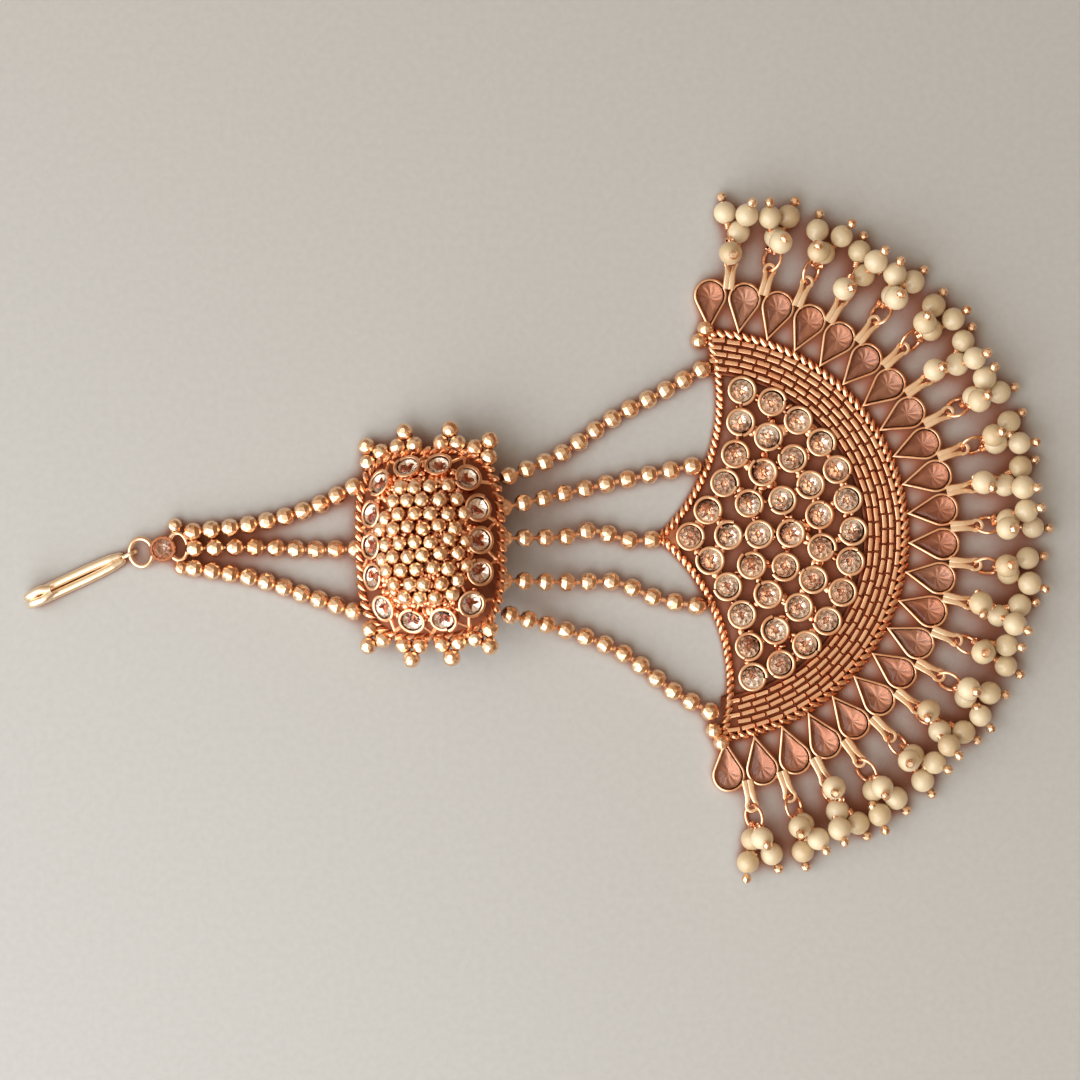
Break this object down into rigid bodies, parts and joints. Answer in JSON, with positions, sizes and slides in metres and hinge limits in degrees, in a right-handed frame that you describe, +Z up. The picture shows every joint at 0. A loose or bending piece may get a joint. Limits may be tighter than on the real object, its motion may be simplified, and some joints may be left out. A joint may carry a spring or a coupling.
{
  "type": "jhoomar, a jewel worn at the side of the head",
  "caption": "Side-of-the-head jewel: a hair hook, a stone link and strings of gold beads carry a domed stone-set plaque and a fan of stones with a fringe of pearls.",
  "frame": {"origin": "middle of the underside of the whole jewel's box, where it lies on a surface", "axes": "+X along the jewel from the hair hook to the pearl fringe, +Y across the fan, +Z up from the surface"},
  "size_m": [0.1638, 0.107, 0.0117],
  "materials": {
    "rose_gold_plate": "polished warm rose-toned gold plate",
    "pale_gold_plate": "polished pale gold plate",
    "champagne_stone": "cut champagne glass, foiled behind",
    "ivory_pearl": "ivory pearl coat"
  },
  "bodies": {
    "root": {"hair_hook": "pale_gold_plate", "stone_link": "rose_gold_plate", "link_stone": "champagne_stone", "upper_chain_1": "rose_gold_plate", "upper_chain_2": "rose_gold_plate", "upper_chain_3": "rose_gold_plate", "plaque": "rose_gold_plate", "plaque_stone_01": "champagne_stone", "plaque_stone_02": "champagne_stone", "plaque_stone_03": "champagne_stone", "plaque_stone_04": "champagne_stone", "plaque_stone_05": "champagne_stone", "plaque_stone_06": "champagne_stone", "plaque_stone_07": "champagne_stone", "plaque_stone_08": "champagne_stone", "plaque_stone_09": "champagne_stone", "plaque_stone_10": "champagne_stone", "plaque_stone_11": "champagne_stone", "plaque_stone_12": "champagne_stone", "plaque_stone_13": "champagne_stone", "plaque_stone_14": "champagne_stone", "lower_chain_1": "rose_gold_plate", "lower_chain_2": "rose_gold_plate", "lower_chain_3": "rose_gold_plate", "lower_chain_4": "rose_gold_plate", "lower_chain_5": "rose_gold_plate", "fan": "rose_gold_plate", "pearl_cluster_01": "ivory_pearl", "pearl_cluster_02": "ivory_pearl", "pearl_cluster_03": "ivory_pearl", "pearl_cluster_04": "ivory_pearl", "pearl_cluster_05": "ivory_pearl", "pearl_cluster_06": "ivory_pearl", "pearl_cluster_07": "ivory_pearl", "pearl_cluster_08": "ivory_pearl", "pearl_cluster_09": "ivory_pearl", "pearl_cluster_10": "ivory_pearl", "pearl_cluster_11": "ivory_pearl", "pearl_cluster_12": "ivory_pearl", "pearl_cluster_13": "ivory_pearl", "pearl_cluster_14": "ivory_pearl", "pearl_cluster_15": "ivory_pearl", "pearl_cluster_16": "ivory_pearl", "pearl_cluster_17": "ivory_pearl", "pearl_cluster_18": "ivory_pearl", "pearl_cluster_19": "ivory_pearl", "pearl_cluster_20": "ivory_pearl", "pearl_cluster_21": "ivory_pearl"}
  },
  "joints": []
}
